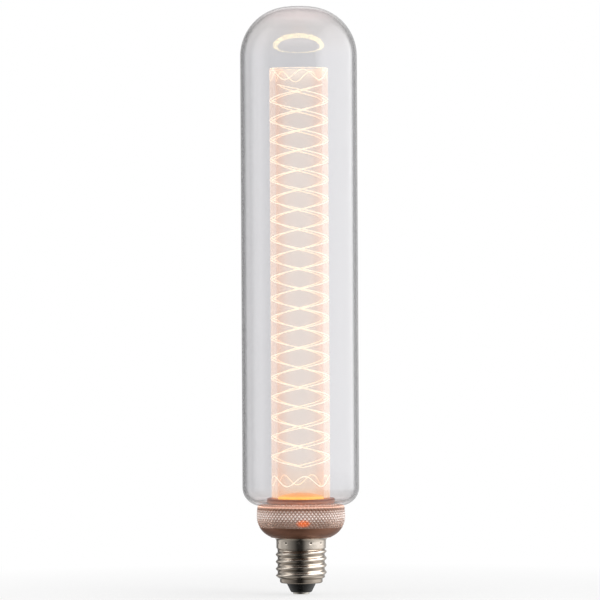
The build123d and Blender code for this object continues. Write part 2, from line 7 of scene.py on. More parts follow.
import bmesh
import bpy
from mathutils import Euler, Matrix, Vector


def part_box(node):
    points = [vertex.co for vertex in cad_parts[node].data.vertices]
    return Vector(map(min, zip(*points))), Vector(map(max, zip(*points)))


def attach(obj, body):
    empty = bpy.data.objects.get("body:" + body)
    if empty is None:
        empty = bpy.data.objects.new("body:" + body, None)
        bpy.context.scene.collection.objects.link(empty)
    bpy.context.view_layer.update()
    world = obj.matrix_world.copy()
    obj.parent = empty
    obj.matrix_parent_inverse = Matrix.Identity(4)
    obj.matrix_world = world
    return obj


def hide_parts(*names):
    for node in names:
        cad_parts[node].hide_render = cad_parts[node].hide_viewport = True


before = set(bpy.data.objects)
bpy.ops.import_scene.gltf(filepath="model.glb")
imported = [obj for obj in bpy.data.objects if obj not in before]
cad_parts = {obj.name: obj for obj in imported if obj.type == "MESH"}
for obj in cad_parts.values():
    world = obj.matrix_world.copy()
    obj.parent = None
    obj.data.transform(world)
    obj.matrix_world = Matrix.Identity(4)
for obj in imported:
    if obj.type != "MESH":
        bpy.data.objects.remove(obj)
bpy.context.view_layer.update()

MM = 0.001


def reach(node):
    """Outer radius, lowest and highest height of a turned node."""
    low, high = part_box(node)
    return high.x / MM, low.z / MM, high.z / MM


# Forms that the boxes of the nodes don't give
glass_wall = 1.1
glass_margin = 0.03
crown_radius = 58.5
knuckle_radius = 25.5
glass_neck_radius = 19.0
glass_neck_fillet = 1.5
glass_seat_gap = 0.1
guide_wall = 3.0
guide_edge = 0.03
bowl_radius = 11.5
bowl_sweep = 68.5
bowl_land = 0.2
barrel_radius = 28.0
spigot_radius = 19.45
cup_gap = 0.1
cove_gap = 0.15
skirt_plug_radius = 12.3
skirt_plug_drop = 4.6
neck_radius = 11.65
neck_drop = 5.3
neck_bore = 9.85
funnel_rise = 1.8
cavity_radius = 15.4
cavity_rise = 4.6
spreader_seat_radius = 17.15
spreader_seat_depth = 1.5
knurl_count = 72
knurl_rows = 9
knurl_depth = 0.45
collar_radius = 22.8
collar_bore = 19.6
collar_bevel = 1.2
painted_spot_side = 1.2
painted_spot_rise = 2.6
thread_pitch = 3.629
thread_root = 12.1
thread_depth = 1.0
thread_width = 3.3
thread_fade = 0.9
thread_crest_z = 11.15
sheet = 0.3
cap_end_radius = 11.0
cap_end_round = 1.0
cap_end_height = 2.2
cap_end_taper = 0.7
thread_length = 14.5
skirt_radius = 12.75
flare_height = 2.1
flare_angle = 73
lip_radius = 7.75
dent_count = 12
dent_width = 0.6
dent_height = 1.0
dent_depth = 0.16
dent_drop = 0.4
dent_angle = -7
cone_radius = 7.6
cone_foot_radius = 4.65
cone_foot_round = 1.0
cone_foot_turn = -23
rivet_hole = 1.45
rivet_radius = 1.3
rivet_head_radius = 2.2
rivet_head_height = 0.8
flange_bevel = 0.7
contact_round = 0.4
lattice_foot = 23.9
lattice_end = 8.6
lattice_pitch = 20.28
lattice_angle = -86
ring_waves = 5
ring_rise = 2.6
ring_angle = -82
ring_foot = 16.7
ring_end = 3.6
line_width = 0.5
line_depth = 0.25
line_proud = 0.02

# Steps of the meshes round the axis, and of the engraved lines in one turn and one wave
around = 256
thread_around = 360
lattice_steps = 96
wave_steps = 40


def add(tree, kind, inputs=None, **settings):
    """A new node in a tree. An input that is given a socket is linked to it; any other takes the value."""
    node = tree.nodes.new(kind)
    for key, value in settings.items():
        setattr(node, key, value)
    for key, value in (inputs or {}).items():
        if isinstance(value, bpy.types.NodeSocket):
            tree.links.new(value, node.inputs[key])
        else:
            node.inputs[key].default_value = value
    return node


def math(tree, operation, first, second=0.0):
    """The result of one sum of two numbers."""
    return add(tree, "ShaderNodeMath", {0: first, 1: second}, operation=operation).outputs[0]


def ramp(tree, factor, stops):
    """A colour for each factor, from stops of (place, colour)."""
    node = add(tree, "ShaderNodeValToRGB", {"Fac": factor})
    elements = node.color_ramp.elements
    while len(elements) < len(stops):
        elements.new(0.5)
    for element, (place, colour) in zip(elements, stops):
        element.position = place
        element.color = (*colour, 1)
    return node.outputs["Color"]


def own_place(tree):
    """Where a point is in the object's own space."""
    return add(tree, "ShaderNodeTexCoord").outputs["Object"]


def vector_math(tree, operation, first, second=(0, 0, 0)):
    """The result of one sum of two vectors, which is a number for a length."""
    result = "Value" if operation == "LENGTH" else "Vector"
    return add(tree, "ShaderNodeVectorMath", {0: first, 1: second}, operation=operation).outputs[result]


def spread_out(tree, value, low, high, to_low=0.0, to_high=1.0):
    """A number that goes from one limit to another while a value goes from low to high."""
    limits = {"Value": value, "From Min": low, "From Max": high, "To Min": to_low, "To Max": to_high}
    return add(tree, "ShaderNodeMapRange", limits).outputs["Result"]


def noise(tree, scale, detail=3.0, stretch=(1, 1, 1)):
    """Noise in the object's own space; scale counts features in a metre."""
    mapped = add(tree, "ShaderNodeMapping", {"Vector": own_place(tree), "Scale": stretch}).outputs["Vector"]
    grain = {"Vector": mapped, "Scale": scale, "Detail": detail}
    return add(tree, "ShaderNodeTexNoise", grain).outputs["Fac"]


def bump(tree, height, strength, distance_mm):
    """A normal that the height disturbs."""
    values = {"Height": height, "Strength": strength, "Distance": distance_mm * MM}
    return add(tree, "ShaderNodeBump", values).outputs["Normal"]


def material(name, **constants):
    """A material with one Principled shader, whose constant sockets are set by name."""
    made = bpy.data.materials.new(name)
    made.use_nodes = True
    shader = made.node_tree.nodes["Principled BSDF"]
    for key, value in constants.items():
        shader.inputs[key.replace("_", " ")].default_value = value
    return made, made.node_tree, shader


def mottled(name, dark, light, scale, roughness, relief=0.0, stretch=(1, 1, 1), **constants):
    """A finish whose colour, gloss and relief follow one noise."""
    half_spread = 0.05
    made, tree, shader = material(name, **constants)
    factor = noise(tree, scale, stretch=stretch)
    tree.links.new(ramp(tree, factor, [(0.3, dark), (0.7, light)]), shader.inputs["Base Color"])
    gloss = spread_out(tree, factor, 0.0, 1.0, roughness - half_spread, roughness + half_spread)
    tree.links.new(gloss, shader.inputs["Roughness"])
    if relief:
        tree.links.new(bump(tree, factor, 0.3, relief), shader.inputs["Normal"])
    return made


def height_factor(tree, low, high):
    """From 0 at one height in the row frame to 1 at another."""
    z = add(tree, "ShaderNodeSeparateXYZ", {"Vector": own_place(tree)}).outputs["Z"]
    return spread_out(tree, z, low * MM, high * MM)


def facing(tree):
    """From 0 where a surface faces the eye to 1 at its limb."""
    return add(tree, "ShaderNodeLayerWeight", {"Blend": 0.5}).outputs["Facing"]


def tinted(tree, colour, by, blend="MULTIPLY"):
    """Two colours multiplied, or added."""
    inputs = {"Factor": 1.0, "A": colour, "B": by}
    return add(tree, "ShaderNodeMix", inputs, data_type="RGBA", blend_type=blend).outputs["Result"]


def off_axis(tree, radius):
    """Distance of a point from the axis, as a share of a radius."""
    flat = vector_math(tree, "MULTIPLY", own_place(tree), (1, 1, 0))
    return math(tree, "DIVIDE", vector_math(tree, "LENGTH", flat), radius * MM)


def upward(tree):
    """From -1 where a surface looks down to 1 where it looks up."""
    normal = add(tree, "ShaderNodeNewGeometry").outputs["Normal"]
    return add(tree, "ShaderNodeSeparateXYZ", {"Vector": normal}).outputs["Z"]


def clear_glass():
    """Clear glass whose tint deepens towards its limb, partly for the longer path along the wall and partly
    as painted shade, with a painted glow at the crown.
    """
    made, tree, shader = material("clear_glass", Roughness=0.0, IOR=1.5, Transmission_Weight=1.0)
    level = math(tree, "ABSOLUTE", upward(tree))
    # Painted light: the limb darkens less on faces that look up or down, which lightens the crown.
    limb = math(tree, "SUBTRACT", facing(tree), spread_out(tree, level, 0.3, 0.95, to_high=0.11))
    # The shades are partly a glass tint and partly painted shade, down to a painted dark outline at the
    # limb.
    shades = (
        (0.0, 0.805), (0.27, 0.8), (0.36, 0.76), (0.45, 0.71), (0.6, 0.68), (0.67, 0.52), (0.72, 0.2),
        (1.0, 0.12),
    )
    limb_tints_and_shade = [(place, (0.99 * shade, 0.985 * shade, shade)) for place, shade in shades]
    # Painted glow: a pinkish lightening of faces that look up or down, strongest at the crown.
    painted_crown_glow = ramp(tree, level, [
        (0.0, (1, 1, 1)), (0.3, (1.02, 1.01, 1)), (0.7, (1.05, 1.03, 1.01)), (0.88, (1.2, 1.13, 1.11)),
    ])
    tree.links.new(tinted(tree, ramp(tree, limb, limb_tints_and_shade), painted_crown_glow), shader.inputs["Base Color"])
    waves = noise(tree, 60, detail=1.0)
    tree.links.new(bump(tree, waves, 0.03, 0.3), shader.inputs["Normal"])
    return made


def guide_acrylic(radius, low, high):
    """Warm clear acrylic with light in its wall, a faint glow on its outer face, and a bright upper end.

    Its tint grows towards the limb, where the eye looks along the wall, and is there partly painted shade.
    """
    end_face = 0.99997
    wall_light = 25.0
    made, tree, shader = material("guide_acrylic", Roughness=0.0, IOR=1.49, Transmission_Weight=1.0)
    along = height_factor(tree, low, high)
    foot = ramp(tree, along, [(0.03, (0.98, 0.82, 0.66)), (0.055, (0.99, 0.93, 0.88)), (0.12, (1, 1, 1))])
    # Partly a tint, partly painted shade: pinkish and darker towards the limb.
    wall = ramp(tree, facing(tree), [
        (0.0, (0.97, 0.945, 0.925)), (0.12, (0.965, 0.915, 0.89)), (0.3, (0.97, 0.81, 0.73)),
        (0.6, (0.97, 0.78, 0.69)),
    ])
    tree.links.new(tinted(tree, wall, foot), shader.inputs["Base Color"])
    glow = ramp(tree, along, [
        (0.03, (0.12, 0.06, 0.02)), (0.055, (0.1, 0.08, 0.06)), (0.12, (0.07, 0.06, 0.05)),
        (0.75, (0.07, 0.06, 0.05)), (0.9, (0.03, 0.025, 0.02)), (0.97, (0.05, 0.04, 0.03)),
        (0.99, (0.16, 0.13, 0.09)),
    ])
    outside = math(tree, "GREATER_THAN", off_axis(tree, radius - guide_edge), 1.0)
    outward = math(tree, "SUBTRACT", 1.0, add(tree, "ShaderNodeNewGeometry").outputs["Backfacing"])
    flat_end = math(tree, "MULTIPLY", outward, math(tree, "GREATER_THAN", along, end_face))
    end = tinted(tree, flat_end, (5.5, 4.5, 1.3, 1))
    tree.links.new(tinted(tree, tinted(tree, glow, outside), end, "ADD"), shader.inputs["Emission Color"])
    shader.inputs["Emission Strength"].default_value = 1.0
    lit = add(tree, "ShaderNodeEmission", {"Color": (1, 0.74, 0.5, 1), "Strength": wall_light})
    tree.links.new(lit.outputs["Emission"], tree.nodes["Material Output"].inputs["Volume"])
    return made


def engraved_light():
    """The frosted face of an engraved line, lit from inside the wall."""
    made, tree, shader = material("engraved_light", Roughness=0.8)
    shader.inputs["Base Color"].default_value = (0.1, 0.08, 0.06, 1)
    shine = ramp(tree, noise(tree, 700), [(0.3, (1.35, 1.1, 0.85)), (0.7, (1.7, 1.4, 1.12))])
    tree.links.new(shine, shader.inputs["Emission Color"])
    shader.inputs["Emission Strength"].default_value = 1.0
    return made


def collar_acrylic(low, high, painted_spot_place):
    """Clear acrylic over copper, brown, with a painted highlight on the tips of its studs and on facets
    that look up, and painted shade in the valleys and on facets that look down.

    It has a painted glow along its upper rim, at the tips, and in one orange spot at the front.
    """
    made, tree, shader = material("collar_acrylic", Roughness=0.12, IOR=1.49, Transmission_Weight=0.65)
    # Painted light: facets that look up are lighter and facets that look down darker, as if lit from above.
    light_by_direction = ramp(tree, spread_out(tree, upward(tree), -0.5, 0.5), [
        (0.25, (0.72, 0.65, 0.62)), (0.5, (0.95, 0.93, 0.92)), (0.75, (1.3, 1.3, 1.3)),
    ])
    out = off_axis(tree, collar_radius)
    valley = 1 - knurl_depth / collar_radius
    # Painted shade: darker in the valleys between the studs.
    painted_valley_shade = ramp(tree, out, [(valley, (0.7, 0.55, 0.48)), (1.0, (1, 0.98, 0.97))])
    haze = ramp(tree, noise(tree, 300), [(0.3, (0.85, 0.84, 0.83)), (0.7, (1, 1, 1))])
    # The base colour carries painted light and painted shade, and a random haze.
    tint = tinted(tree, tinted(tree, painted_valley_shade, light_by_direction), haze)
    along = height_factor(tree, low, high)
    # Painted glow along the upper rim.
    edge = ramp(tree, along, [(0.935, (0, 0, 0)), (0.965, (0.54, 0.32, 0.24)), (1.0, (0.5, 0.29, 0.22))])
    below = ramp(tree, along, [
        (0.8, (1, 1, 1)), (0.85, (0.6, 0.45, 0.38)), (0.92, (0.6, 0.45, 0.38)), (0.96, (1, 1, 1)),
    ])
    # A painted orange glow in one spot at the front, with a matching painted orange tint of the base
    # colour.
    away = vector_math(tree, "SUBTRACT", own_place(tree), tuple(c * MM for c in painted_spot_place))
    painted_spots_in_a_metre = (250, 100, 480)
    far = vector_math(tree, "LENGTH", vector_math(tree, "MULTIPLY", away, painted_spots_in_a_metre))
    painted_glow_spot = ramp(tree, far, [(0.0, (0.42, 0.09, 0.01)), (0.6, (0.3, 0.06, 0.008)), (1.0, (0, 0, 0))])
    painted_spot_tint = ramp(tree, far, [(0.0, (0.9, 0.3, 0.1)), (0.6, (0.9, 0.45, 0.25)), (1.0, (1, 1, 1))])
    tree.links.new(tinted(tree, tinted(tree, tint, below), painted_spot_tint), shader.inputs["Base Color"])
    # Painted highlight: a glow on the tips of the studs.
    painted_tip_highlight = ramp(tree, out, [(valley, (0.02, 0.015, 0.01)), (1.0, (0.44, 0.43, 0.43))])
    painted_glow = tinted(tree, tinted(tree, painted_glow_spot, painted_tip_highlight, "ADD"), light_by_direction)
    tree.links.new(tinted(tree, edge, painted_glow, "ADD"), shader.inputs["Emission Color"])
    shader.inputs["Emission Strength"].default_value = 1.0
    return made


def copper_brown():
    """Copper-brown lacquer with faint streaks round the bowl."""
    made, tree, shader = material("copper_brown", Metallic=0.6, Coat_Weight=0.05, Coat_Roughness=0.2)
    streaks = noise(tree, 220, stretch=(1, 1, 6))
    tint = ramp(tree, streaks, [(0.3, (0.215, 0.096, 0.055)), (0.7, (0.255, 0.117, 0.07))])
    tree.links.new(tint, shader.inputs["Base Color"])
    tree.links.new(spread_out(tree, streaks, 0.0, 1.0, 0.36, 0.46), shader.inputs["Roughness"])
    tree.links.new(bump(tree, noise(tree, 4000), 0.15, 0.02), shader.inputs["Normal"])
    return made


def nickel(dent_low, dent_high):
    """Rolled nickel, with painted shade in the roots of the thread and in the staking dents of the skirt.
    """
    made, tree, shader = material("nickel", Metallic=1.0)
    rolled = noise(tree, 500, stretch=(1, 1, 8))
    tint = ramp(tree, rolled, [(0.3, (0.55, 0.49, 0.425)), (0.7, (0.64, 0.575, 0.505))])
    # Painted shade inside the staking dents.
    sunk = math(tree, "LESS_THAN", off_axis(tree, skirt_radius - dent_depth / 3), 1.0)
    band = height_factor(tree, dent_low, dent_high)
    above = math(tree, "GREATER_THAN", band, 0.001)
    inside = math(tree, "MULTIPLY", above, math(tree, "LESS_THAN", band, 0.999))
    painted_dent_shade = ramp(tree, math(tree, "MULTIPLY", sunk, inside), [(0.0, (1, 1, 1)), (1.0, (0.12, 0.11, 0.1))])
    crest = thread_root + thread_depth
    # Painted shade in the roots of the thread.
    painted_root_shade = ramp(tree, off_axis(tree, crest), [
        (thread_root / crest, (0.66, 0.64, 0.62)), ((thread_root + 0.5 * thread_depth) / crest, (1, 1, 1)),
    ])
    tree.links.new(tinted(tree, tinted(tree, tint, painted_dent_shade), painted_root_shade), shader.inputs["Base Color"])
    tree.links.new(spread_out(tree, rolled, 0.0, 1.0, 0.12, 0.2), shader.inputs["Roughness"])
    tree.links.new(bump(tree, noise(tree, 1500, stretch=(1, 1, 4)), 0.1, 0.02), shader.inputs["Normal"])
    return made


def warm_reflector(radius):
    """The low dome over the diodes, with a painted glow: yellow round its foot, where the light comes up,
    orange at its top.
    """
    made, tree, shader = material("warm_reflector", Roughness=0.35)
    shader.inputs["Base Color"].default_value = (0.2, 0.08, 0.03, 1)
    # Painted glow of the diodes' light on the dome.
    lit = ramp(tree, off_axis(tree, radius), [
        (0.3, (0.72, 0.28, 0.08)), (0.7, (0.9, 0.36, 0.03)), (0.88, (1.05, 0.52, 0.04)),
        (0.96, (1.3, 0.85, 0.1)),
    ])
    cloud = ramp(tree, noise(tree, 250), [(0.3, (0.88, 0.86, 0.84)), (0.7, (1, 1, 1))])
    tree.links.new(tinted(tree, lit, cloud), shader.inputs["Emission Color"])
    shader.inputs["Emission Strength"].default_value = 1.0
    return made


def holder_plastic(low, high):
    """Copper-brown moulding that is darkest round its upper rim."""
    made, tree, shader = material("holder_plastic", Roughness=0.4)
    cloud = ramp(tree, noise(tree, 500), [(0.3, (0.62, 0.21, 0.1)), (0.7, (0.72, 0.27, 0.14))])
    rim = ramp(tree, height_factor(tree, low, high), [
        (0.8, (1, 1, 1)), (0.9, (0.5, 0.3, 0.15)), (1.0, (0.5, 0.3, 0.15)),
    ])
    tree.links.new(tinted(tree, cloud, rim), shader.inputs["Base Color"])
    tree.links.new(bump(tree, noise(tree, 900), 0.2, 0.02), shader.inputs["Normal"])
    return made


def arc(centre, radius, start, end, steps):
    """Points on an arc of a section, as (radius, height)."""
    points = []
    for step in range(steps + 1):
        angle = radians(start + (end - start) * step / steps)
        points.append((centre[0] + radius * cos(angle), centre[1] + radius * sin(angle)))
    return points


def make_piece(name, vertices, faces, paint, slot, crease=35):
    """A piece of the bulb from points in millimetres, smooth except at edges sharper than the crease."""
    mesh = bpy.data.meshes.new(name)
    form = bmesh.new()
    points = [form.verts.new(Vector(v) * MM) for v in vertices]
    for face in faces:
        form.faces.new([points[i] for i in face])
    bmesh.ops.recalc_face_normals(form, faces=form.faces)
    form.to_mesh(mesh)
    form.free()
    mesh.shade_smooth()
    mesh.set_sharp_from_angle(angle=radians(crease))
    piece = bpy.data.objects.new(name, mesh)
    bpy.context.scene.collection.objects.link(piece)
    mesh.materials.append(paint)
    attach(piece, "root")
    return piece


def skin(rings, closed):
    """Vertices and faces of a skin over rings of points; a ring of one point is a pole."""
    vertices = []
    starts = []
    for ring in rings:
        starts.append(len(vertices))
        vertices.extend(ring)
    faces = []
    count = max(len(ring) for ring in rings)
    pairs = list(zip(range(len(rings)), range(1, len(rings))))
    if closed:
        pairs.append((len(rings) - 1, 0))
    for low, high in pairs:
        for i in range(count):
            following = (i + 1) % count
            corners = []
            for row, step in ((low, i), (low, following), (high, following), (high, i)):
                corner = starts[row] + (step if len(rings[row]) > 1 else 0)
                if corner not in corners:
                    corners.append(corner)
            if len(corners) > 2:
                faces.append(corners)
    return vertices, faces


def circle(radius, z, count):
    """Points round the axis at one height."""
    step = 2 * pi / count
    return [(radius * cos(step * i), radius * sin(step * i), z) for i in range(count)]


def turned(outline):
    """A solid turned round the axis from the points of its section, whose two ends may be poles."""
    rings = []
    for radius, z in outline:
        if radius < 1e-6:
            rings.append([(0, 0, z)])
        else:
            rings.append(circle(radius, z, around))
    return skin(rings, closed=len(rings[0]) > 1)


def glass_envelope():
    """The blown envelope: an outer and an inner face that meet at the end of the neck."""
    widest, neck_end, highest = reach("glass_envelope")
    glass_radius = widest - glass_margin
    top = highest - glass_margin
    seat = reach("crystal_collar")[2] + glass_seat_gap
    shoulder = glass_radius - glass_neck_radius - glass_neck_fillet
    side = glass_radius - knuckle_radius
    half = degrees(asin(side / (crown_radius - knuckle_radius)))
    crown_z = top - crown_radius
    knuckle_z = crown_z + (crown_radius - knuckle_radius) * cos(radians(half))
    side_steps = 8
    faces = []
    for inset in (0, glass_wall):
        fillet = (glass_neck_radius + glass_neck_fillet, seat - glass_neck_fillet)
        section = arc((0, crown_z), crown_radius - inset, 90, 90 - half, steps=16)
        section += arc((side, knuckle_z), knuckle_radius - inset, 90 - half, 0, steps=40)[1:]
        side_top = section[-1][1]
        straight = side_top - (seat + shoulder)
        for i in range(1, side_steps):
            section.append((glass_radius - inset, side_top - straight * i / side_steps))
        section += arc((fillet[0], seat + shoulder), shoulder - inset, 0, -90, steps=24)
        section += arc(fillet, glass_neck_fillet + inset, 90, 180, steps=10)[1:]
        section.append((glass_neck_radius - inset, neck_end))
        faces.append(section)
    piece = make_piece("glass_tube", *turned(faces[0] + faces[1][::-1]), clear_glass(), "clear_glass")
    piece.visible_shadow = False
    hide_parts("glass_envelope")


def light_guide():
    """The acrylic tube, with its engraved lines as strips in its outer face."""
    radius, low, high = reach("light_guide")
    bore = radius - guide_wall
    edge = guide_edge
    section = [
        (radius - edge, low), (radius, low + edge), (radius, high - edge), (radius - edge, high),
        (bore + edge, high), (bore, high - edge), (bore, low + edge), (bore + edge, low),
    ]
    tube = make_piece("light_tube", *turned(section), guide_acrylic(radius, low, high), "clear_acrylic")
    tube.visible_shadow = False
    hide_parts("light_guide")
    lines = engraved_light()
    strands = []
    turns = (high - low - lattice_foot - lattice_end) / lattice_pitch
    steps = int(lattice_steps * turns)
    for hand in (1, -1):
        for start in (lattice_angle, lattice_angle + 180):
            path = []
            for i in range(steps + 1):
                turn = turns * i / steps
                path.append((radians(start + hand * 360 * turn), low + lattice_foot + turn * lattice_pitch))
            strands.append(strip(path, radius, closed=False))
    make_piece("lattice_lines", *joined(strands), lines, "clear_acrylic")
    rings = []
    for middle in (low + ring_foot, high - ring_end):
        path = []
        for i in range(wave_steps * ring_waves):
            angle = 2 * pi * i / (wave_steps * ring_waves)
            wave = cos(ring_waves * (angle - radians(ring_angle)))
            path.append((angle, middle + ring_rise * wave))
        rings.append(strip(path, radius, closed=True))
    make_piece("ring_lines", *joined(rings), lines, "clear_acrylic")


def strip(path, radius, closed):
    """A V-shaped strip let into a round face along a path of (angle, height)."""
    rings = []
    count = len(path)
    for i, (angle, z) in enumerate(path):
        before = path[i - 1] if closed or i else path[i]
        after = path[(i + 1) % count] if closed or i < count - 1 else path[i]
        step = (after[0] - before[0]) % (2 * pi)
        step = step - 2 * pi if step > pi else step
        along = radius * step
        rise = after[1] - before[1]
        length = sqrt(along**2 + rise**2)
        side_angle = -rise / length * line_width / 2 / radius
        side_z = along / length * line_width / 2
        ring = []
        for out, side in ((line_proud, 1), (line_proud, -1), (-line_depth, 0)):
            corner = angle + side * side_angle
            ring.append(((radius + out) * cos(corner), (radius + out) * sin(corner), z + side * side_z))
        rings.append(ring)
    vertices, faces = skin(rings, closed)
    if not closed:
        faces.append([0, 1, 2])
        faces.append([len(vertices) - 1, len(vertices) - 2, len(vertices) - 3])
    return vertices, faces


def joined(shapes):
    """Several shapes of vertices and faces as one."""
    vertices = []
    faces = []
    for some_vertices, some_faces in shapes:
        first = len(vertices)
        vertices.extend(some_vertices)
        faces.extend([first + i for i in face] for face in some_faces)
    return vertices, faces


def outline_radius(z, widest_z):
    """Radius of the outline that the collar and the bowl share."""
    arc_radius = barrel_radius if z > widest_z else bowl_radius
    return collar_radius - arc_radius + sqrt(arc_radius**2 - (widest_z - z) ** 2)


def bowl_heights():
    """Height of the bowl's lower edge and of the widest place of the collar."""
    low = reach("screw_shell")[2] + cup_gap
    return low, low + bowl_land + bowl_radius * sin(radians(bowl_sweep))


def crystal_collar():
    """The prismatic ring: four-sided studs outside, a smooth bore with a bevelled mouth inside."""
    low, high = reach("crystal_collar")[1:]
    widest_z = bowl_heights()[1]
    corners = 2 * knurl_count
    vertices = []
    faces = []
    for row in range(knurl_rows + 1):
        z = low + (high - low) * row / knurl_rows
        ridge = outline_radius(z, widest_z)
        for i in range(corners):
            r = ridge - knurl_depth * ((i + row) % 2)
            vertices.append((r * cos(pi * i / knurl_count), r * sin(pi * i / knurl_count), z))
    for row in range(knurl_rows):
        for i in range(corners):
            a = row * corners + i
            b = row * corners + (i + 1) % corners
            c, d = b + corners, a + corners
            if (i + row) % 2:
                faces += [[a, b, c], [a, c, d]]
            else:
                faces += [[a, b, d], [b, c, d]]
    first = len(vertices)
    inside = ((collar_bore, low), (collar_bore, high - collar_bevel), (collar_bore + collar_bevel, high))
    for radius, z in inside:
        vertices += circle(radius, z, corners)
    rows = (0, first, first + corners, first + 2 * corners, knurl_rows * corners)
    for start, end in zip(rows, rows[1:]):
        for i in range(corners):
            following = (i + 1) % corners
            faces.append([start + i, start + following, end + following, end + i])
    # Place of the painted glow spot on the collar's bore.
    painted_spot_place = (painted_spot_side, -collar_bore, low + painted_spot_rise)
    paint = collar_acrylic(low, high, painted_spot_place)
    piece = make_piece("prism_ring", vertices, faces, paint, "collar_acrylic", crease=12)
    piece.visible_shadow = False
    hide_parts("crystal_collar")


def base_cup():
    """The copper-brown bowl with its spigot, the cove over the rim of the shell, and its neck."""
    collar_low = reach("crystal_collar")[1]
    shell_top = reach("screw_shell")[2]
    neck_low, spigot_top = reach("base_cup")[1:]
    bowl_low, widest_z = bowl_heights()
    flare_radius = flare_height / sin(radians(flare_angle))
    cove = flare_radius + sheet + cove_gap
    cove_turn = degrees(asin((flare_height + cup_gap) / cove))
    flare_centre = (skirt_radius + flare_radius, shell_top - flare_height)
    start = -degrees(asin((widest_z - collar_low) / bowl_radius))
    seat_z = spigot_top - spreader_seat_depth
    section = [(spreader_seat_radius, spigot_top), (spigot_radius, spigot_top), (spigot_radius, collar_low)]
    section += arc((collar_radius - bowl_radius, widest_z), bowl_radius, start, -bowl_sweep, steps=16)
    section.append((section[-1][0], bowl_low))
    section += arc(flare_centre, cove, 180 - cove_turn, 180, steps=8)
    section += [
        (skirt_plug_radius, shell_top - skirt_plug_drop), (neck_radius, shell_top - neck_drop),
        (neck_radius, neck_low), (neck_bore, neck_low), (neck_bore, bowl_low + funnel_rise),
        (cavity_radius, bowl_low + cavity_rise), (cavity_radius, seat_z), (spreader_seat_radius, seat_z),
    ]
    piece = make_piece("copper_bowl", *turned(section), copper_brown(), "copper_brown", crease=25)
    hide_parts("base_cup")


def cap_rise(angle, z, start, end):
    """How far the rolled thread stands out from its root at an angle and a height."""
    offset = (z - thread_crest_z - thread_pitch * angle / (2 * pi)) / thread_pitch
    offset = (offset - round(offset)) * thread_pitch
    if abs(offset) > thread_width / 2:
        return 0.0
    ridge = thread_depth * (0.5 + 0.5 * cos(2 * pi * offset / thread_width))
    fade = min(z - start, end - z) / thread_fade * thread_depth
    return max(0.0, min(ridge, fade))


def dent(angle, z, middle):
    """Depth of the staking dents at an angle and a height of the skirt."""
    up = abs(z - middle) / (dent_height / 2)
    step = 2 * pi / dent_count
    turn = (angle - radians(dent_angle)) / step
    across = abs(turn - round(turn)) * step * skirt_radius / (dent_width / 2)
    wall_foot, wall_slope = 2.2, 1.6
    return dent_depth * max(0.0, min(1.0, wall_foot - wall_slope * max(up, across)))


def screw_shell():
    """The rolled sheet of the screw cap, outside and inside: lip, thread, skirt, dents and flared rim."""
    bottom, top = reach("screw_shell")[1:]
    start = bottom + cap_end_height + cap_end_taper
    end = start + thread_length
    step = skirt_radius - thread_root
    flare_radius = flare_height / sin(radians(flare_angle))
    flare_z = top - flare_height
    dents = flare_z - dent_drop
    outer_rows, inner_rows, skirt_rows = 130, 60, 20
    rings = []
    for inset, rows in ((0, outer_rows), (sheet, inner_rows)):
        corner = (cap_end_radius - cap_end_round, bottom + cap_end_round)
        wall = [(lip_radius, bottom + inset)]
        wall += arc(corner, cap_end_round - inset, 270, 360, steps=8)
        wall += [(cap_end_radius - inset, start - cap_end_taper), (thread_root - inset, start)]
        wall += [(thread_root - inset, start + thread_length * i / rows) for i in range(1, rows + 1)]
        for i in range(skirt_rows + 1):
            wall.append((skirt_radius - inset, end + step + (flare_z - end - step) * i / skirt_rows))
        flare = flare_radius + inset
        turn = degrees(asin(flare_height / flare))
        wall += arc((skirt_radius + flare_radius, flare_z), flare, 180, 180 - turn, steps=10)[1:]
        surface = []
        for radius, z in wall:
            ring = []
            for i in range(thread_around):
                angle = 2 * pi * i / thread_around
                r = radius
                if start < z < end:
                    r += cap_rise(angle, z, start, end)
                elif z > end + step and not inset:
                    r -= dent(angle, z, dents)
                ring.append((r * cos(angle), r * sin(angle), z))
            surface.append(ring)
        rings += surface if not inset else surface[::-1]
    paint = nickel(dents - dent_height, dents + dent_drop)
    piece = make_piece("screw_cap", *skin(rings, closed=True), paint, "nickel", crease=50)
    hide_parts("screw_shell")


def insulator_and_contact():
    """The black cone at the end of the cap and the riveted contact below it."""
    contact_radius, contact_low, rivet_top = reach("centre_contact")
    flange_radius, low, high = reach("insulator")
    lip = reach("screw_shell")[1]
    foot = arc((cone_foot_radius, low + cone_foot_round), cone_foot_round, -90, cone_foot_turn, steps=8)
    section = [(rivet_hole, low)] + foot + [
        (cone_radius, lip), (cone_radius, lip + sheet), (flange_radius - flange_bevel, lip + sheet),
        (flange_radius, lip + sheet + flange_bevel), (flange_radius, high), (rivet_hole, high),
    ]
    black = mottled(
        "black_insulator", (0.006, 0.006, 0.006), (0.014, 0.014, 0.013), 900, 0.32, relief=0.02,
        Coat_Weight=0.1,
    )
    cone = make_piece("insulator_cone", *turned(section), black, "black_insulator", crease=30)
    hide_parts("insulator")
    corner = (contact_radius - contact_round, contact_low + contact_round)
    head_low = rivet_top - rivet_head_height
    disc = [(0, contact_low)] + arc(corner, contact_round, 270, 360, steps=6) + [
        (contact_radius, low), (rivet_radius, low), (rivet_radius, head_low), (rivet_head_radius, head_low),
        (rivet_radius, rivet_top), (0, rivet_top),
    ]
    tin = mottled(
        "contact_metal", (0.5, 0.47, 0.42), (0.66, 0.63, 0.58), 800, 0.3, relief=0.02, Metallic=1.0
    )
    contact = make_piece("contact_disc", *turned(disc), tin, "contact_metal", crease=30)
    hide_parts("centre_contact")


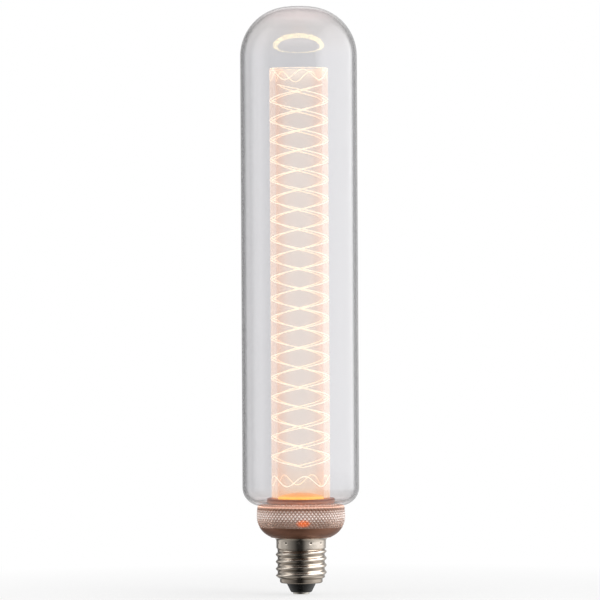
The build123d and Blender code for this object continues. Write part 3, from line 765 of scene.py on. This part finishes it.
def inner_finishes():
    """Finishes of the solids that are shown as they are."""
    finishes = {
        "guide_holder": holder_plastic(*reach("guide_holder")[1:]),
        "neck_sealant": mottled("sealant", (0.3, 0.17, 0.12), (0.36, 0.21, 0.15), 700, 0.45, relief=0.05),
        "led_board": mottled("board_white", (0.78, 0.77, 0.74), (0.86, 0.85, 0.82), 600, 0.4, relief=0.01),
        "leds": mottled("led_package", (0.9, 0.66, 0.14), (0.95, 0.76, 0.24), 1500, 0.35, relief=0.01),
        "heat_spreader": mottled(
            "spreader_metal", (0.66, 0.66, 0.67), (0.78, 0.78, 0.79), 700, 0.35, stretch=(1, 12, 1),
            Metallic=1.0,
        ),
        "board_screws": mottled(
            "screw_steel", (0.52, 0.52, 0.52), (0.66, 0.66, 0.66), 900, 0.3, Metallic=1.0
        ),
        "driver_board": mottled(
            "circuit_board", (0.02, 0.13, 0.05), (0.04, 0.2, 0.08), 900, 0.35, relief=0.02
        ),
        "smoothing_capacitor": mottled(
            "capacitor_can", (0.03, 0.03, 0.05), (0.06, 0.06, 0.09), 600, 0.35, relief=0.01
        ),
        "choke": mottled("ferrite", (0.03, 0.03, 0.03), (0.07, 0.065, 0.06), 1200, 0.7, relief=0.04),
        "fuse_resistor": mottled(
            "resistor_coat", (0.1, 0.22, 0.14), (0.16, 0.3, 0.2), 1500, 0.4, relief=0.02
        ),
        "live_lead": mottled("live_wire", (0.25, 0.08, 0.03), (0.32, 0.11, 0.05), 1500, 0.45, relief=0.01),
        "neutral_lead": mottled(
            "neutral_wire", (0.02, 0.07, 0.3), (0.04, 0.1, 0.38), 1500, 0.45, relief=0.01
        ),
        "led_leads": mottled("led_wire", (0.6, 0.58, 0.55), (0.7, 0.68, 0.65), 1500, 0.45, relief=0.01),
    }
    chips = mottled("chip_plastic", (0.012, 0.012, 0.012), (0.03, 0.03, 0.03), 2500, 0.6, relief=0.02)
    finishes["bridge_rectifier"] = chips
    finishes["driver_chip"] = chips
    finishes["centre_reflector"] = warm_reflector(reach("centre_reflector")[0])
    for node, paint in finishes.items():
        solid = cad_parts[node]
        solid.data.materials.clear()
        solid.data.materials.append(paint)


def studio():
    """White surroundings for the eye, and for gloss a studio, dark in front and brightest on the right."""
    world = bpy.data.worlds.new("studio")
    bpy.context.scene.world = world
    world.use_nodes = True
    tree = world.node_tree
    tree.nodes.clear()
    direction = add(tree, "ShaderNodeTexCoord").outputs["Generated"]
    parts = add(tree, "ShaderNodeSeparateXYZ", {"Vector": direction}).outputs
    towards = math(tree, "MULTIPLY", parts["Y"], -1.0)
    angle = math(tree, "ARCTAN2", parts["X"], towards)
    share = spread_out(tree, angle, -pi, pi)
    levels = (
        (-180, 0.9), (-166, 0.6), (-152, 0.1), (-140, 0.3), (-123, 0.95), (-100, 0.65), (-79, 0.55),
        (-45, 0.24), (-18, 0.03), (5, 0.03), (11, 0.1), (25, 0.4), (55, 0.75), (80, 1.3), (115, 1.4),
        (130, 1.0), (145, 0.5), (166, 0.7), (180, 0.9),
    )
    light_by_direction = ramp(tree, share, [((place + 180) / 360, (level, level, level)) for place, level in levels])
    slope = math(tree, "ADD", math(tree, "MULTIPLY", parts["Z"], 0.5), 0.5)
    fading = ramp(tree, slope, [
        (0.0, (0.6, 0.58, 0.56)), (0.42, (1, 1, 1)), (0.62, (1, 1, 1)), (1.0, (0.6, 0.6, 0.6)),
    ])
    around_us = tinted(tree, light_by_direction, fading)
    light = add(tree, "ShaderNodeLightPath").outputs
    plain = math(tree, "MAXIMUM", light["Is Camera Ray"], light["Is Transmission Ray"])
    studio_light = add(tree, "ShaderNodeBackground", {"Color": around_us})
    white = add(tree, "ShaderNodeBackground", {"Color": (1, 1, 1, 1)})
    mixed = add(tree, "ShaderNodeMixShader", {0: plain, 1: studio_light.outputs[0], 2: white.outputs[0]})
    add(tree, "ShaderNodeOutputWorld", {"Surface": mixed.outputs[0]})


def floor():
    """A pale floor under the contact, which keeps a faint shadow and is whiter far from the bulb."""
    floor_radius = 1.2
    floor_drop = 0.0003
    near, far_off = 0.02, 0.3
    near_white, far_white = 0.72, 1.0
    mesh = bpy.data.meshes.new("floor")
    form = bmesh.new()
    bmesh.ops.create_circle(form, cap_ends=True, segments=96, radius=floor_radius)
    form.to_mesh(mesh)
    form.free()
    plane = bpy.data.objects.new("floor", mesh)
    plane.location.z = -floor_drop
    bpy.context.scene.collection.objects.link(plane)
    made, tree, shader = material("floor_white", Roughness=0.9)
    shader.inputs["Base Color"].default_value = (0.9, 0.9, 0.9, 1)
    white = add(tree, "ShaderNodeEmission", {"Color": (1, 1, 1, 1)})
    far = vector_math(tree, "LENGTH", own_place(tree))
    share = spread_out(tree, far, near, far_off, near_white, far_white)
    light = add(tree, "ShaderNodeLightPath").outputs
    seen = math(tree, "MAXIMUM", light["Is Camera Ray"], light["Is Transmission Ray"])
    seen = math(tree, "MAXIMUM", seen, light["Is Glossy Ray"])
    factor = math(tree, "MULTIPLY", seen, share)
    mixed = add(tree, "ShaderNodeMixShader", {0: factor, 1: shader.outputs[0], 2: white.outputs[0]})
    tree.links.new(mixed.outputs[0], tree.nodes["Material Output"].inputs["Surface"])
    mesh.materials.append(made)
    plane.visible_glossy = False


def lamps():
    """A large soft light on the right and a weaker one on the left, both left out of reflections."""
    aim = Vector((0, 0, 0.15))
    for name, place, size, power in (
        ("key", (1.3, -0.9, 0.9), 0.9, 9.0),
        ("fill", (-1.3, -0.5, 0.6), 0.9, 4.0),
    ):
        data = bpy.data.lights.new(name, "AREA")
        data.size = size
        data.energy = power
        lamp = bpy.data.objects.new(name, data)
        lamp.location = place
        lamp.rotation_euler = (aim - Vector(place)).to_track_quat("-Z", "Y").to_euler()
        lamp.visible_glossy = False
        lamp.visible_transmission = False
        bpy.context.scene.collection.objects.link(lamp)


def edge_ramp(tree, axis, stops):
    """A brightness along one axis of the object, from stops of (place in metres, share)."""
    along = add(tree, "ShaderNodeSeparateXYZ", {"Vector": own_place(tree)}).outputs[axis]
    start, end = stops[0][0], stops[-1][0]
    greys = [((painted_glow_spot - start) / (end - start), (part, part, part)) for painted_glow_spot, part in stops]
    return ramp(tree, spread_out(tree, along, start, end), greys)


def strip_light(name, level, corners, fades):
    """A white panel with soft edges that only gloss shows."""
    mesh = bpy.data.meshes.new(name)
    mesh.from_pydata(corners, [], [(0, 1, 2, 3)])
    panel = bpy.data.objects.new(name, mesh)
    bpy.context.scene.collection.objects.link(panel)
    made, tree, shader = material(name)
    shader.inputs["Base Color"].default_value = (0, 0, 0, 1)
    first, second = [edge_ramp(tree, axis, stops) for axis, stops in fades]
    tree.links.new(tinted(tree, first, second), shader.inputs["Emission Color"])
    shader.inputs["Emission Strength"].default_value = level
    mesh.materials.append(made)
    panel.visible_camera = False
    panel.visible_diffuse = False
    panel.visible_transmission = False
    panel.visible_shadow = False


def strip_lights():
    """Tall panels close to the bulb on the right and the left, and a wide one in front, above its top."""
    round_panel = ((0, 0), (-1, 0), (-1, -1), (0, -1))
    upright = ((0.02, 0.33), (0.06, 1), (0.3, 1), (0.46, 0.35))
    for name, x, level, across in (
        ("strip_right", 0.15, 4.0, ((-0.26, 0.1), (-0.14, 1), (0.06, 1), (0.1, 0.35))),
        ("strip_left", -0.15, 2.1, ((-0.1, 0.2), (-0.04, 1), (-0.005, 1), (0.03, 0.35))),
    ):
        corners = [(x, across[y][0], upright[z][0]) for y, z in round_panel]
        strip_light(name, level, corners, (("Y", across), ("Z", upright)))
    front_y = -0.2
    front_level = 1.3
    across = ((-0.2, 0), (-0.1, 1), (0.1, 1), (0.2, 0))
    upright = ((0.33, 0), (0.38, 1), (0.41, 1), (0.47, 0))
    corners = [(across[x][0], front_y, upright[z][0]) for x, z in round_panel]
    strip_light("strip_front", front_level, corners, (("X", across), ("Z", upright)))


def camera():
    """A long lens, level with the middle of the bulb."""
    distance = 2.5
    side = 0.1 * MM
    middle_z = 150.7 * MM
    frame_width = 307.7 * MM
    roll = 0.31
    data = bpy.data.cameras.new("camera")
    data.sensor_width = 36
    data.lens = data.sensor_width * distance / frame_width
    data.clip_end = 50
    eye = bpy.data.objects.new("camera", data)
    eye.location = (side, -distance, middle_z)
    eye.rotation_euler = Euler((radians(90), radians(roll), 0), "XYZ")
    bpy.context.scene.collection.objects.link(eye)
    bpy.context.scene.camera = eye


glass_envelope()
light_guide()
crystal_collar()
base_cup()
screw_shell()
insulator_and_contact()
inner_finishes()
studio()
floor()
lamps()
strip_lights()
camera()

scene = bpy.context.scene
scene.view_settings.view_transform = "Standard"
scene.cycles.max_bounces = 24
scene.cycles.transmission_bounces = 24
scene.cycles.glossy_bounces = 8
scene.cycles.use_denoising = True
